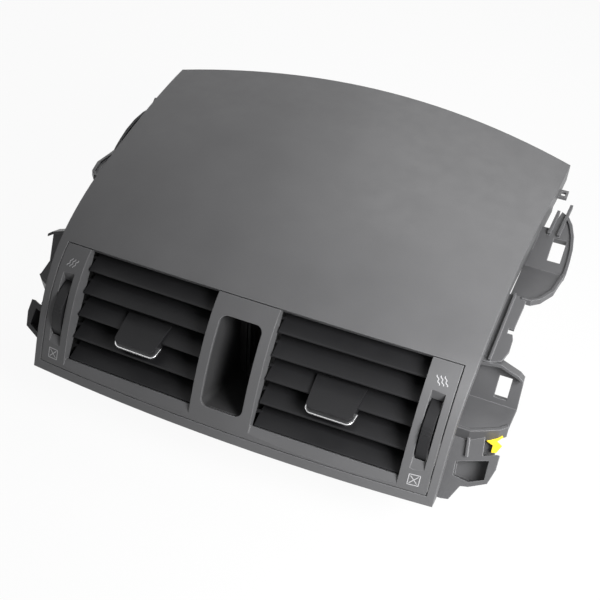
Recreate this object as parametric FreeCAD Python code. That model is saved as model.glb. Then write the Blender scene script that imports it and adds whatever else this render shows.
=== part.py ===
import FreeCAD, Part
import math
import os

# Centre dashboard air vent: a curved hood panel with a bezel that holds two air registers,
# a pocket between them and a thumbwheel beside each. Millimetres, +X to the right seen from
# the front, +Y to the rear, +Z up, as it is fitted in the dashboard.
# Every depth is measured inwards from the outer face.

V = FreeCAD.Vector

# Registers and the bezel's outer columns, from the middle of the vent.
REGISTER_INNER_EDGE = 23.1
REGISTER_OUTER_EDGE = 129.2
COLUMN_WIDTH = 20.5
BEZEL_HALF_WIDTH = REGISTER_OUTER_EDGE + COLUMN_WIDTH

# Hood: side edge from the front lip to the rear edge, as margin outside the bezel, y, z, bow
# and crown. Bow and crown are how far the middle lies behind and above the side edge.
HOOD_PROFILE = [
    (5.9, -50.7, -83.0, -9.0, 2.0),
    (6.3, -37.0, -50.2, -9.0, 3.0),
    (6.8, -22.0, -24.6, -9.0, 4.0),
    (7.8, -7.0, -8.8, -9.0, 6.0),
    (8.8, 15.0, 5.2, -8.5, 7.0),
    (10.5, 53.0, 19.6, -5.0, 8.0),
    (13.6, 113.0, 31.4, 4.0, 9.0),
    (17.3, 158.0, 36.0, 14.0, 9.0),
    (21.3, 218.0, 39.3, 31.0, 9.0),
]
HOOD_SECTIONS = [(BEZEL_HALF_WIDTH + margin, *rest) for margin, *rest in HOOD_PROFILE]
PANEL_WALL = 2.6
SKIRT_DEPTH = 14.0
SKIRT_WALL = 2.4
RIB_HEIGHT = 6.0
RIB_WALL = 1.4
RIB_PITCH = 44.0
TAB_LEVEL = 23.6
TAB_SIDE = 18.3

# Bezel: places along the hood's face are arc lengths from the front lip.
BEZEL_BOTTOM = 7.4
BEZEL_TOP = 98.6
BEZEL_WALL = 2.6
BEZEL_GROOVE = 0.7
GRILLE_BOTTOM = 16.8
GRILLE_TOP = 98.3
RETURN_WALL = 1.8
RETURN_DEPTH = 7.4
LEDGE_RIDGE = 9.0
LEDGE_DROP = 3.5
HOOK_WALL = 2.8
TOP_RAIL_REACH = 7.5
SEAT_GAP = 0.2

# Pocket in the centre column.
POCKET_HALF_WIDTH = 15.8
POCKET_BOTTOM = 20.5
POCKET_TOP = 84.5
POCKET_CORNER = 5.5
POCKET_WALL = 1.8
POCKET_DEPTH = 67.0
POCKET_FLOOR_DROP = 23.0
POCKET_ROOF_DROP = 6.0

# Housing behind each register, in the register's own space: a to the side, d inwards, b up
# along the face.
HOUSING_WALL = 2.0
HOUSING_SIDE_GAP = 0.3
HOUSING_FLOOR = -46.5
HOUSING_CEILING = 49.0
HOUSING_FRONT_DEPTH = 6.3
THROAT_GAP = 11.0
THROAT_TAPER = 12.0
THROAT_HALF_HEIGHT = 27.0
OUTLET_GAP = 1.5
FLANGE_WIDTH = 8.0
GASKET_WIDTH = 6.0
GASKET_THICKNESS = 6.0

# Horizontal vanes.
H_VANE_COUNT = 5
H_VANE_PITCH = 17.0
H_VANE_TOP_NOSE = 27.0
H_VANE_NOSE_DEPTH = 4.6
H_VANE_CURVE = 0.32
H_VANE_CHORD = 24.0
H_VANE_PIVOT = 11.0
H_VANE_NOSE_RADIUS = 1.15
H_VANE_HALF_THICKNESS = 1.5
H_VANE_TAIL_RADIUS = 0.7
H_VANE_SLOPE = 14.0
H_VANE_END_GAP = 1.1
H_VANE_TIE_PIN = 20.0
PIVOT_RADIUS = 1.6
LINK_PIN_RADIUS = 1.2
PIN_CLEARANCE = 0.25
TIE_BAR_WIDTH = 4.6
TIE_BAR_OFFSET = 1.5
TIE_BAR_BOSS = 2.7
TIE_BAR_THICKNESS = 1.6
VANE_SWEEP_GAP = 0.6

# Knob that slides along the middle horizontal vane.
KNOB_OFFSET = -2.1
KNOB_FRONT_HALF_WIDTH = 16.4
KNOB_REAR_HALF_WIDTH = 18.0
KNOB_FRONT = -13.0
KNOB_REAR = 14.0
KNOB_SLIDE_GAP = 0.35
KNOB_SKIN = 1.6
KNOB_CORNER = 4.0
TRIM_THICKNESS = 0.9
TRIM_HEIGHT = 1.8
TRIM_LEG = 9.0
FORK_WALL = 1.6
FORK_HEIGHT = 2.8
FORK_GAP = 0.5
FORK_REACH = 8.4
FORK_RISE = 0.3
KNOB_TILT_DOWN = 28.0
KNOB_TILT_UP = 22.0

# Vertical vanes behind them.
V_VANE_COUNT = 7
VANE_ROW_GAP = 11.4
V_VANE_FRONT = 17.0
V_VANE_REAR = 9.0
V_VANE_THICKNESS = 1.8
V_VANE_TIE_ARM = 7.0
V_VANE_TOP_GAP = 0.6
V_VANE_BOTTOM_GAP = 3.3
FORK_ARM = 23.0
FORK_BAR_RADIUS = 1.2
FORK_WINDOW_GAP = 0.9
V_TIE_THICKNESS = 1.9
V_TIE_WIDTH = 5.0

# Thumbwheel, damper flap and the link between them.
WHEEL_CENTRE_DEPTH = 21.0
WHEEL_CENTRE_HEIGHT = -5.6
WHEEL_RADIUS = 28.0
WHEEL_SIDE = 6.85
WHEEL_WIDTH = 7.4
WHEEL_AXLE_RADIUS = 3.0
WHEEL_GAP = 0.6
WHEEL_WEB = 3.0
WHEEL_RIM = 5.0
SLOT_HALF_WIDTH = 4.75
SLOT_BOTTOM = -33.5
SLOT_RAMP_LOW = -25.6
SLOT_RAMP_HIGH = 14.4
SLOT_TOP = 21.2
SLOT_FLOOR_DEPTH = 1.8
CRANK_RADIUS = 12.0
CRANK_REST_ANGLE = 42.0
CRANK_PIN_RADIUS = 1.5
LINK_SIDE_GAP = 0.85
LINK_THICKNESS = 1.4
LINK_HALF_WIDTH = 3.4
FLAP_FRONT_GAP = 1.5
FLAP_HALF_CHORD = 26.5
FLAP_THICKNESS = 2.0
FLAP_SHAFT_RADIUS = 2.5
FLAP_END_GAP = 0.8

# Side carriers under the hood's side edges. Each plate lies on a plane that leans back from
# level, given by a point (y, z) and a tilt in degrees.
CARRIER_WALL = 2.2
CARRIER_TOP_DEPTH = 6.5
CARRIER_BOTTOM_DEPTH = 34.0
CARRIER_PLATE = 2.4
CARRIER_MARGIN = 3.8
EAR_FOOT = (25.4, -47.1)
EAR_TILT = 70.0
LEDGE_TILT = 10.4
FRONT_WINDOW = (9.0, 16.6)
BOX_HEAD = (10.1, -49.9)
BOX_TILT = 46.0
BOX_DEPTH = 16.0
CLIP_SEAT = 9.0
RAIL_START = -26.5
RAIL_TILT = 22.6
REAR_ROOT = 7.5
REAR_EAR = (150.0, 2.0)
REAR_EAR_TILT = 25.0
REAR_WINDOW = (9.8, 20.3)
FRONT_WINDOW_START = (17.7, 4.4)
REAR_WINDOW_START = (22.5, -8.0)
WINDOW_FRAME = 2.4
REAR_LEDGE = (77.0, 3.0)
REAR_LEDGE_TILT = -10.6

# Screws that hold the housings to the bezel.
SCREW_SHANK = 1.25
SCREW_HEAD = 3.4
SCREW_HEAD_HEIGHT = 2.2
SCREW_LENGTH = 9.5
BOSS_RADIUS = 3.8
BOSS_CLEARANCE = 0.05
SCREW_WALL_GAP = 4.85
SCREW_HEIGHTS = (36.0, -42.0)
TAB_DEPTH = 17.0
TAB_THICKNESS = 2.0

FAR = 400.0

# What follows from the sizes above
REGISTER_MIDDLE = (REGISTER_INNER_EDGE + REGISTER_OUTER_EDGE) / 2
REGISTER_HALF_WIDTH = (REGISTER_OUTER_EDGE - REGISTER_INNER_EDGE) / 2
HOUSING_INSIDE = REGISTER_HALF_WIDTH + RETURN_WALL + HOUSING_SIDE_GAP
HOUSING_OUTSIDE = HOUSING_INSIDE + HOUSING_WALL
V_VANE_PITCH = 2 * REGISTER_HALF_WIDTH / (V_VANE_COUNT + 0.8)
V_VANE_PIVOT_DEPTH = H_VANE_NOSE_DEPTH + H_VANE_CHORD + VANE_ROW_GAP + V_VANE_FRONT
THROAT_START = V_VANE_PIVOT_DEPTH + THROAT_GAP
THROAT_END = THROAT_START + THROAT_TAPER
FLAP_PIVOT_DEPTH = V_VANE_PIVOT_DEPTH + V_VANE_REAR + FLAP_FRONT_GAP + FLAP_HALF_CHORD
OUTLET_DEPTH = FLAP_PIVOT_DEPTH + FLAP_HALF_CHORD + OUTLET_GAP
WHEEL_INNER_FACE = REGISTER_HALF_WIDTH + WHEEL_SIDE
LINK_INNER_FACE = HOUSING_OUTSIDE + LINK_SIDE_GAP
SCREW_SIDE = HOUSING_OUTSIDE + SCREW_WALL_GAP
CARRIER_ROOT = BEZEL_HALF_WIDTH + CARRIER_MARGIN


def box(x0, x1, y0, y1, z0, z1):
    return Part.makeBox(x1 - x0, y1 - y0, z1 - z0, V(x0, y0, z0))


def rod(start, direction, length, radius):
    return Part.makeCylinder(radius, length, start, direction)


def join(shapes):
    result = shapes[0]
    if len(shapes) > 1:
        result = result.multiFuse(shapes[1:])
    return result


def fuse(shapes):
    return join(shapes).removeSplitter()


def mirrored(shape):
    return shape.mirror(V(0, 0, 0), V(1, 0, 0))


def closed_wire(points):
    return Part.makePolygon(points + [points[0]])


# Hood surface
def stations():
    lengths = [0.0]
    for before, after in zip(HOOD_SECTIONS, HOOD_SECTIONS[1:]):
        lengths.append(lengths[-1] + math.hypot(after[1] - before[1], after[2] - before[2]))
    return lengths


STATIONS = stations()
HOOD_END = STATIONS[-1]


def spline(points):
    curve = Part.BSplineCurve()
    curve.interpolate(Points=points, Parameters=STATIONS)
    return curve


EDGE = spline([V(s[0], s[1], s[2]) for s in HOOD_SECTIONS])
SWELL = spline([V(0, s[3], s[4]) for s in HOOD_SECTIONS])


def edge_inward(t):
    tangent = EDGE.tangent(t)[0]
    inward = V(0, tangent.z, -tangent.y)
    return inward.normalize()


def surface_at(depth):
    """The hood's outer face moved inwards by a depth."""
    left = []
    middle = []
    right = []
    for t in STATIONS:
        side = EDGE.value(t) + edge_inward(t) * depth
        swell = SWELL.value(t)
        left.append(V(-side.x, side.y, side.z))
        middle.append(V(0, side.y + 2 * swell.y, side.z + 2 * swell.z))
        right.append(side)
    columns = [spline(points) for points in (left, middle, right)]
    face = Part.BSplineSurface()
    face.buildFromPolesMultsKnots(
        [column.getPoles() for column in columns],
        [3, 3],
        columns[0].getMultiplicities(),
        [0.0, 1.0],
        columns[0].getKnots(),
        False,
        False,
        2,
        columns[0].Degree,
    )
    return face


def ruled(surface_a, surface_b, u0, u1, t0, t1):
    """The four side faces between two patches with the same limits."""
    sides = []
    for u in (u0, u1):
        edges = [s.uIso(u).toShape(t0, t1) for s in (surface_a, surface_b)]
        sides.append(Part.makeRuledSurface(edges[0], edges[1]))
    for t in (t0, t1):
        edges = [s.vIso(t).toShape(u0, u1) for s in (surface_a, surface_b)]
        sides.append(Part.makeRuledSurface(edges[0], edges[1]))
    return sides


def layer(depth_a, depth_b, t0, t1, side_margin=0.0):
    """A solid layer of the hood between two depths, over a stretch of the face."""
    outer = surface_at(depth_a)
    inner = surface_at(depth_b)
    u0 = side_margin / (2 * HOOD_SECTIONS[0][0])
    u1 = 1.0 - u0
    faces = [s.toShape(u0, u1, t0, t1) for s in (outer, inner)]
    faces += ruled(outer, inner, u0, u1, t0, t1)
    shell = Part.makeShell(faces)
    shell.sewShape()
    solid = Part.makeSolid(Part.Shell(shell.Faces))
    if solid.Volume < 0:
        solid.reverse()
    return solid


def between(shape, x0, x1):
    return shape.common(box(x0, x1, -FAR, FAR, -FAR, FAR))


def face_point(x, t):
    edge = EDGE.value(t)
    swell = SWELL.value(t)
    share = 1 - (x / edge.x) ** 2
    return V(x, edge.y + swell.y * share, edge.z + swell.z * share)


# Register space: a to the side, d inwards, b up along the face
LOW = face_point(REGISTER_MIDDLE, GRILLE_BOTTOM)
HIGH = face_point(REGISTER_MIDDLE, GRILLE_TOP)
ORIGIN = (LOW + HIGH) * 0.5
FACE_TILT = math.degrees(math.atan2(HIGH.y - LOW.y, HIGH.z - LOW.z))
GRILLE_HALF_HEIGHT = (HIGH - LOW).Length / 2
SPACE = FreeCAD.Placement(ORIGIN, FreeCAD.Rotation(V(1, 0, 0), -FACE_TILT))
CENTRE_SPACE = FreeCAD.Placement(V(0, ORIGIN.y, ORIGIN.z), SPACE.Rotation)
TO_FACE = SPACE.inverse()
ALONG = TO_FACE.multVec(face_point(REGISTER_OUTER_EDGE, (GRILLE_BOTTOM + GRILLE_TOP) / 2))
ALONG = ALONG - TO_FACE.multVec(face_point(REGISTER_INNER_EDGE, (GRILLE_BOTTOM + GRILLE_TOP) / 2))
VANE_AXIS = V(ALONG.x, ALONG.y, 0).normalize()
SLANT = VANE_AXIS.y / VANE_AXIS.x


WHEEL_SHIFT = SLANT * (WHEEL_INNER_FACE + WHEEL_WIDTH / 2)


def face_depth(a, b):
    """How deep the hood's face lies at a place in the register's space."""
    low = 0.0
    high = 130.0
    for _ in range(40):
        t = (low + high) / 2
        point = TO_FACE.multVec(face_point(REGISTER_MIDDLE + a, t))
        if point.z < b:
            low = t
        else:
            high = t
    return point.y


def placed(shape, space=SPACE):
    result = shape.copy()
    result.Placement = space.multiply(result.Placement)
    return result


def plate_da(points, a0, a1):
    """A prism along a from (d, b) points."""
    wire = closed_wire([V(a0, d, b) for d, b in points])
    return Part.Face(wire).extrude(V(a1 - a0, 0, 0))


def slot_plate(ends, half_width, a0, a1):
    """A flat link with round ends between two (d, b) points."""
    parts = [rod(V(a0, d, b), V(1, 0, 0), a1 - a0, half_width) for d, b in ends]
    (d0, b0), (d1, b1) = ends
    length = math.hypot(d1 - d0, b1 - b0)
    side = V(0, -(b1 - b0) / length * half_width, (d1 - d0) / length * half_width)
    start = V(a0, d0, b0)
    end = V(a0, d1, b1)
    wire = closed_wire([start - side, end - side, end + side, start + side])
    parts.append(Part.Face(wire).extrude(V(a1 - a0, 0, 0)))
    return fuse(parts)


# Hood panel
def top_panel():
    shell = layer(0, SKIRT_DEPTH, 0, HOOD_END)
    hollow = layer(PANEL_WALL, SKIRT_DEPTH + 4, SKIRT_WALL, HOOD_END - SKIRT_WALL, SKIRT_WALL)
    window = layer(-6, SKIRT_DEPTH, BEZEL_BOTTOM - BEZEL_GROOVE, BEZEL_TOP + BEZEL_GROOVE)
    half = BEZEL_HALF_WIDTH + BEZEL_GROOVE
    panel = shell.cut(hollow).cut(between(window, -half, half))
    ribs = []
    rib_edge = SKIRT_WALL + CARRIER_WALL + 1
    rib_zone = layer(PANEL_WALL - 0.2, PANEL_WALL + RIB_HEIGHT, 140, HOOD_END - 1, rib_edge)
    count = 3
    for i in range(-count, count + 1):
        x = i * RIB_PITCH
        ribs.append(between(rib_zone, x - RIB_WALL / 2, x + RIB_WALL / 2))
    for t in (142, 200, 260):
        ribs.append(layer(PANEL_WALL - 0.2, PANEL_WALL + RIB_HEIGHT, t, t + RIB_WALL, rib_edge))
    side = BEZEL_HALF_WIDTH + TAB_SIDE
    tab = box(side, side + 8, 191, 202, TAB_LEVEL, TAB_LEVEL + 2.2)
    tab = tab.cut(box(side + 3, side + 6, 193.5, 199.5, 0, 60))
    return join([panel] + ribs + [tab, mirrored(tab)])


# Bezel
SLOT_MIDDLE = WHEEL_INNER_FACE + WHEEL_WIDTH / 2
PANEL_SEAT = PANEL_WALL + SEAT_GAP


def both_sides(shapes):
    return shapes + [mirrored(shape) for shape in shapes]


def bezel_seats(rail_top):
    """The rail and feet that reach under the panel above the openings."""
    half = BEZEL_HALF_WIDTH - 2
    rail = layer(PANEL_SEAT, 2 * BEZEL_WALL, BEZEL_TOP + BEZEL_GROOVE, rail_top)
    heel = layer(BEZEL_WALL - 0.2, 2 * BEZEL_WALL, BEZEL_TOP - 3, BEZEL_TOP)
    foot = join([heel, layer(PANEL_SEAT, 2 * BEZEL_WALL, BEZEL_TOP - 1, rail_top)])
    inner = REGISTER_INNER_EDGE
    outer = REGISTER_OUTER_EDGE
    columns = ((-half, -outer), (-inner, inner), (outer, half))
    return [between(rail, -half, half)] + [between(foot, x0, x1) for x0, x1 in columns]


def register_frame(ridge):
    """The walls beside an opening and the ledge below it, which follows the vanes' slant."""
    reach = REGISTER_HALF_WIDTH
    bottom = -GRILLE_HALF_HEIGHT - 5
    parts = []
    for a in (-reach - RETURN_WALL, reach):
        parts.append(box(a, a + RETURN_WALL, -20, RETURN_DEPTH + SLANT * a, bottom, HOUSING_CEILING - 2))
    outline = [
        (ridge.y, ridge.z - 0.6),
        (LEDGE_DROP, -GRILLE_HALF_HEIGHT),
        (LEDGE_DROP + BEZEL_WALL, -GRILLE_HALF_HEIGHT),
        (ridge.y + BEZEL_WALL, ridge.z - 0.9),
    ]
    start = -reach - 1
    wire = closed_wire([V(start, d + SLANT * start, b) for d, b in outline])
    parts.append(slanted(wire, start, reach + 1))
    return parts


def wheel_bed():
    """The block behind the wheel's recess and the bosses for the housing's screws."""
    start = HOUSING_OUTSIDE + HOUSING_SIDE_GAP
    depth = SLOT_FLOOR_DEPTH + WHEEL_SHIFT + BEZEL_WALL
    parts = [box(start, SLOT_MIDDLE + 7.5, -20, depth, SLOT_BOTTOM - 4, SLOT_TOP + 4)]
    for b in SCREW_HEIGHTS:
        parts.append(rod(V(SCREW_SIDE, -20, b), V(0, 1, 0), 20 + TAB_DEPTH, BOSS_RADIUS))
    return parts


def panel_hooks():
    """Hooks at the outer edge that reach under the panel."""
    half = BEZEL_HALF_WIDTH
    depth = PANEL_WALL + HOOK_WALL
    hooks = []
    for t in (18, 52, 86):
        hooks.append(between(layer(BEZEL_WALL - 0.2, depth, t, t + 9), half - 3, half))
        hooks.append(between(layer(PANEL_SEAT, depth, t, t + 9), half - 1, half + 3))
    return hooks


def bezel_tools():
    """The wheel's recess and room, the lowest vane's sweep and the screw holes."""
    floor = SLOT_FLOOR_DEPTH + WHEEL_SHIFT
    outline = [
        (-12, SLOT_BOTTOM),
        (face_depth(SLOT_MIDDLE, SLOT_BOTTOM), SLOT_BOTTOM),
        (floor, SLOT_RAMP_LOW),
        (floor, SLOT_RAMP_HIGH),
        (face_depth(SLOT_MIDDLE, SLOT_TOP), SLOT_TOP),
        (-12, SLOT_TOP),
    ]
    recess = plate_da(outline, SLOT_MIDDLE - SLOT_HALF_WIDTH, SLOT_MIDDLE + SLOT_HALF_WIDTH)
    wheel_start = V(WHEEL_INNER_FACE - WHEEL_GAP, WHEEL_CENTRE_DEPTH + WHEEL_SHIFT, WHEEL_CENTRE_HEIGHT)
    wheel_room = rod(wheel_start, V(1, 0, 0), WHEEL_WIDTH + 2 * WHEEL_GAP, WHEEL_RADIUS + WHEEL_GAP)
    reach = REGISTER_HALF_WIDTH
    sweep = H_VANE_PIVOT + H_VANE_NOSE_RADIUS + VANE_SWEEP_GAP
    sweep_start = on_axis(h_vane_noses()[-1], H_VANE_PIVOT, 0, -reach - 2)
    vane_room = rod(sweep_start, VANE_AXIS, 2 * reach + 5, sweep).common(box(-reach, reach, -20, 60, -80, 80))
    tools = [recess, wheel_room, vane_room]
    length = SCREW_LENGTH - TAB_THICKNESS + 0.4
    for b in SCREW_HEIGHTS:
        tools.append(rod(V(SCREW_SIDE, TAB_DEPTH, b), V(0, -1, 0), length, SCREW_SHANK + BOSS_CLEARANCE))
    return tools


def vent_bezel():
    half = BEZEL_HALF_WIDTH
    rail_top = BEZEL_TOP + TOP_RAIL_REACH
    plate = between(layer(0, BEZEL_WALL, BEZEL_BOTTOM, BEZEL_TOP), -half, half)
    body = layer(0, 30, BEZEL_BOTTOM, BEZEL_TOP)
    body = join([body, layer(PANEL_SEAT, 30, BEZEL_TOP - 4, rail_top)])
    ridge = TO_FACE.multVec(face_point(REGISTER_MIDDLE, LEDGE_RIDGE))
    reach = REGISTER_HALF_WIDTH
    opening = placed(box(-reach, reach, -20, 20, ridge.z, HOUSING_CEILING - 4))
    plate = plate.cut(both_sides([opening]))
    framing = [placed(part).common(body) for part in register_frame(ridge) + wheel_bed()]
    solid = join([plate] + bezel_seats(rail_top) + both_sides(framing + panel_hooks()))
    tools = both_sides([placed(tool) for tool in bezel_tools()])
    return solid.cut(tools + [pocket_hole(POCKET_HALF_WIDTH, -30, 30)])


def pocket_limits():
    low = CENTRE_SPACE.inverse().multVec(face_point(0, POCKET_BOTTOM))
    high = CENTRE_SPACE.inverse().multVec(face_point(0, POCKET_TOP))
    return low, high


def pocket_hole(half, d0, d1):
    low, high = pocket_limits()
    block = box(-half, half, d0, d1, low.z, high.z)
    block = block.makeFillet(POCKET_CORNER, [e for e in block.Edges if abs(e.tangentAt(0).y) > 0.9])
    return placed(block, CENTRE_SPACE)


# Pocket
def pocket_profile(margin):
    low = face_point(0, POCKET_BOTTOM)
    high = face_point(0, POCKET_TOP)
    rear = low.y + POCKET_DEPTH + margin
    forward = 30
    slope = POCKET_FLOOR_DROP / POCKET_DEPTH
    roof = POCKET_ROOF_DROP / POCKET_DEPTH
    return [
        (low.y - forward, low.z - margin + forward * slope),
        (high.y - forward, high.z + margin + forward * roof),
        (rear, high.z + margin - (rear - high.y) * roof),
        (rear, low.z - margin - (rear - low.y) * slope),
    ]


def centre_pocket():
    low = face_point(0, POCKET_BOTTOM)
    high = face_point(0, POCKET_TOP)
    rear = low.y + POCKET_DEPTH
    shapes = []
    for margin in (POCKET_WALL, 0.0):
        half = POCKET_HALF_WIDTH + margin
        points = pocket_profile(margin)
        wire = closed_wire([V(-half, y, z) for y, z in points])
        block = Part.Face(wire).extrude(V(2 * half, 0, 0))
        long_edges = [e for e in block.Edges if abs(e.tangentAt(0).x) < 0.1 and e.BoundBox.YLength > 30]
        shapes.append(block.makeFillet(POCKET_CORNER - 1.5 + margin, long_edges))
    tray = shapes[0].cut(shapes[1])
    back_wall = box(-POCKET_HALF_WIDTH, POCKET_HALF_WIDTH, rear - 0.5, rear + POCKET_WALL, -FAR, FAR)
    tray = tray.fuse(back_wall.common(shapes[0]))
    floor_z = low.z - POCKET_FLOOR_DROP
    socket = box(-5.0, 12.5, rear - 5, rear + 8, floor_z + 16, high.z - 18)
    socket_back = box(-6.6, 14.1, rear, rear + 9.6, floor_z + 14.4, high.z - 16.4)
    step = box(-7.5, POCKET_HALF_WIDTH + 0.5, rear - 6, rear + 0.5, floor_z - 1, floor_z + 12)
    guide = box(-11.5, -9.5, rear - 4, rear + 0.5, floor_z + 4, high.z - 8)
    guide_two = box(-7.5, -5.5, rear - 6, rear + 0.5, floor_z + 4, high.z - 8)
    inner_parts = [part.common(shapes[0]) for part in (step, guide, guide_two)]
    tray = fuse([tray, socket_back] + inner_parts)
    tray = tray.cut(socket)
    front = layer(-40, BEZEL_WALL, 0, 130)
    return tray.cut(front)


# Vent housing
def housing_profile(margin, mouth, outlet):
    floor = HOUSING_FLOOR - margin
    ceiling = HOUSING_CEILING + margin
    throat = THROAT_HALF_HEIGHT + margin
    return [
        (mouth, floor),
        (THROAT_START + margin / 2, floor),
        (THROAT_END + margin / 2, -throat),
        (outlet, -throat),
        (outlet, throat),
        (THROAT_END + margin / 2, throat),
        (THROAT_START + margin / 2, ceiling),
        (mouth, ceiling),
    ]


def vent_housing():
    outer = plate_da(housing_profile(HOUSING_WALL, -20, OUTLET_DEPTH), -HOUSING_OUTSIDE, HOUSING_OUTSIDE)
    inner = plate_da(housing_profile(0, -30, OUTLET_DEPTH + 10), -HOUSING_INSIDE, HOUSING_INSIDE)
    throat = THROAT_HALF_HEIGHT + HOUSING_WALL
    side = HOUSING_OUTSIDE + FLANGE_WIDTH
    inner_side = HOUSING_OUTSIDE + 2
    edge = throat + FLANGE_WIDTH
    flange = box(-inner_side, side, OUTLET_DEPTH - 2, OUTLET_DEPTH, -edge, edge)
    parts = [outer, flange]
    for b in SCREW_HEIGHTS:
        root = HOUSING_OUTSIDE - 1
        parts.append(box(root, SCREW_SIDE + 5, TAB_DEPTH, TAB_DEPTH + TAB_THICKNESS, b - 5, b + 5))
        parts.append(box(root, SCREW_SIDE - 3.6, TAB_DEPTH, TAB_DEPTH + 9, b - 0.9, b + 0.9))
    parts.append(
        rod(
            V(HOUSING_OUTSIDE - 1, WHEEL_CENTRE_DEPTH + WHEEL_SHIFT, WHEEL_CENTRE_HEIGHT),
            V(1, 0, 0),
            WHEEL_INNER_FACE + WHEEL_WIDTH + 1 - HOUSING_OUTSIDE,
            WHEEL_AXLE_RADIUS,
        )
    )
    solid = fuse(parts).cut(inner)
    tools = []
    for nose in h_vane_noses():
        pivot = chord_point(nose, H_VANE_PIVOT, 0)
        start = V(0, pivot[0], pivot[1]) - VANE_AXIS * FAR
        tools.append(rod(start, VANE_AXIS, 2 * FAR, PIVOT_RADIUS + PIN_CLEARANCE))
    for a in v_vane_places():
        tools.append(
            rod(V(a, V_VANE_PIVOT_DEPTH, HOUSING_FLOOR - 10), V(0, 0, 1), 120, PIVOT_RADIUS + PIN_CLEARANCE)
        )
    shaft = rod(
        V(-HOUSING_OUTSIDE - 1, FLAP_PIVOT_DEPTH, 0),
        V(1, 0, 0),
        2 * HOUSING_OUTSIDE + 2,
        FLAP_SHAFT_RADIUS + PIN_CLEARANCE,
    )
    tools.append(shaft)
    for b in SCREW_HEIGHTS:
        tools.append(rod(V(SCREW_SIDE, 0, b), V(0, 1, 0), TAB_DEPTH + 10, SCREW_SHANK + 0.8))
    solid = solid.cut(tools).removeSplitter()
    front = layer(-40, HOUSING_FRONT_DEPTH, 0, 190)
    return placed(solid).cut(front)


def outlet_gasket():
    throat = THROAT_HALF_HEIGHT + HOUSING_WALL
    side = HOUSING_OUTSIDE
    deep = OUTLET_DEPTH + GASKET_THICKNESS
    outer = box(-side, side + GASKET_WIDTH, OUTLET_DEPTH, deep, -throat - GASKET_WIDTH, throat + GASKET_WIDTH)
    inner = box(-HOUSING_INSIDE, side, OUTLET_DEPTH - 1, deep + 1, -throat, throat)
    return placed(outer.cut(inner))


# Horizontal vanes
def h_vane_noses():
    noses = []
    for k in range(H_VANE_COUNT):
        depth = H_VANE_NOSE_DEPTH + H_VANE_CURVE * (k - 0.8) ** 2
        noses.append((depth, H_VANE_TOP_NOSE - k * H_VANE_PITCH))
    return noses


CHORD_ANGLE = math.radians(FACE_TILT + H_VANE_SLOPE)


def chord_point(nose, p, q):
    """A (d, b) point given along and above a vane's chord."""
    d = nose[0] + p * math.cos(CHORD_ANGLE) - q * math.sin(CHORD_ANGLE)
    b = nose[1] + p * math.sin(CHORD_ANGLE) + q * math.cos(CHORD_ANGLE)
    return d, b


def on_axis(nose, p, q, a):
    """The same point, carried sideways along the slanted vane axis."""
    d, b = chord_point(nose, p, q)
    return V(a, d + SLANT * a, b)


def slanted(wire, a0, a1):
    return Part.Face(wire).extrude(VANE_AXIS * ((a1 - a0) / VANE_AXIS.x))


def vane_wire(nose, a):
    def at(p, q):
        return on_axis(nose, p, q, a)

    tail = H_VANE_CHORD - H_VANE_TAIL_RADIUS
    r0 = H_VANE_NOSE_RADIUS
    half = H_VANE_HALF_THICKNESS
    r1 = H_VANE_TAIL_RADIUS
    edges = [
        Part.LineSegment(at(0, r0), at(H_VANE_PIVOT, half)),
        Part.LineSegment(at(H_VANE_PIVOT, half), at(tail, r1)),
        Part.Arc(at(tail, r1), at(tail + r1, 0), at(tail, -r1)),
        Part.LineSegment(at(tail, -r1), at(H_VANE_PIVOT, -half)),
        Part.LineSegment(at(H_VANE_PIVOT, -half), at(0, -r0)),
        Part.Arc(at(0, -r0), at(-r0, 0), at(0, r0)),
    ]
    return Part.Wire([edge.toShape() for edge in edges])


VANE_END = REGISTER_HALF_WIDTH - H_VANE_END_GAP
TIE_BAR_A = (VANE_END + 0.9, VANE_END + 0.9 + TIE_BAR_THICKNESS)


def h_vane(nose):
    blade = slanted(vane_wire(nose, -VANE_END), -VANE_END, VANE_END)
    pin_end = HOUSING_OUTSIDE - 0.2
    step = 1 / VANE_AXIS.x
    start = on_axis(nose, H_VANE_PIVOT, 0, VANE_END - 1)
    length = (pin_end - VANE_END + 1) * step
    pins = [rod(start, VANE_AXIS, length, PIVOT_RADIUS)]
    start = on_axis(nose, H_VANE_PIVOT, 0, 1 - VANE_END)
    pins.append(rod(start, VANE_AXIS * -1, length, PIVOT_RADIUS))
    start = on_axis(nose, H_VANE_TIE_PIN, 0, VANE_END - 1)
    pins.append(rod(start, VANE_AXIS, (TIE_BAR_A[1] + 0.3 - VANE_END + 1) * step, LINK_PIN_RADIUS))
    return placed(fuse([blade] + pins))


def h_tie_bar():
    """A bar behind the pivot pins, which pass in front of it when the vanes are turned up."""
    noses = h_vane_noses()
    shift = SLANT * (TIE_BAR_A[0] + TIE_BAR_A[1]) / 2
    holes = []
    for nose in noses:
        d, b = chord_point(nose, H_VANE_TIE_PIN, 0)
        holes.append((d + shift, b))
    width = TIE_BAR_A[1] - TIE_BAR_A[0]
    parts = [rod(V(TIE_BAR_A[0], d, b), V(1, 0, 0), width, TIE_BAR_BOSS) for d, b in holes]
    line = [(d + TIE_BAR_OFFSET, b) for d, b in holes]
    for ends in zip(line, line[1:]):
        parts.append(slot_plate(ends, TIE_BAR_WIDTH / 2, *TIE_BAR_A))
    bar = fuse(parts)
    for nose in noses:
        start = on_axis(nose, H_VANE_TIE_PIN, 0, VANE_END - 2)
        bar = bar.cut(rod(start, VANE_AXIS, 8, LINK_PIN_RADIUS + PIN_CLEARANCE))
    return placed(bar)


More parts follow.
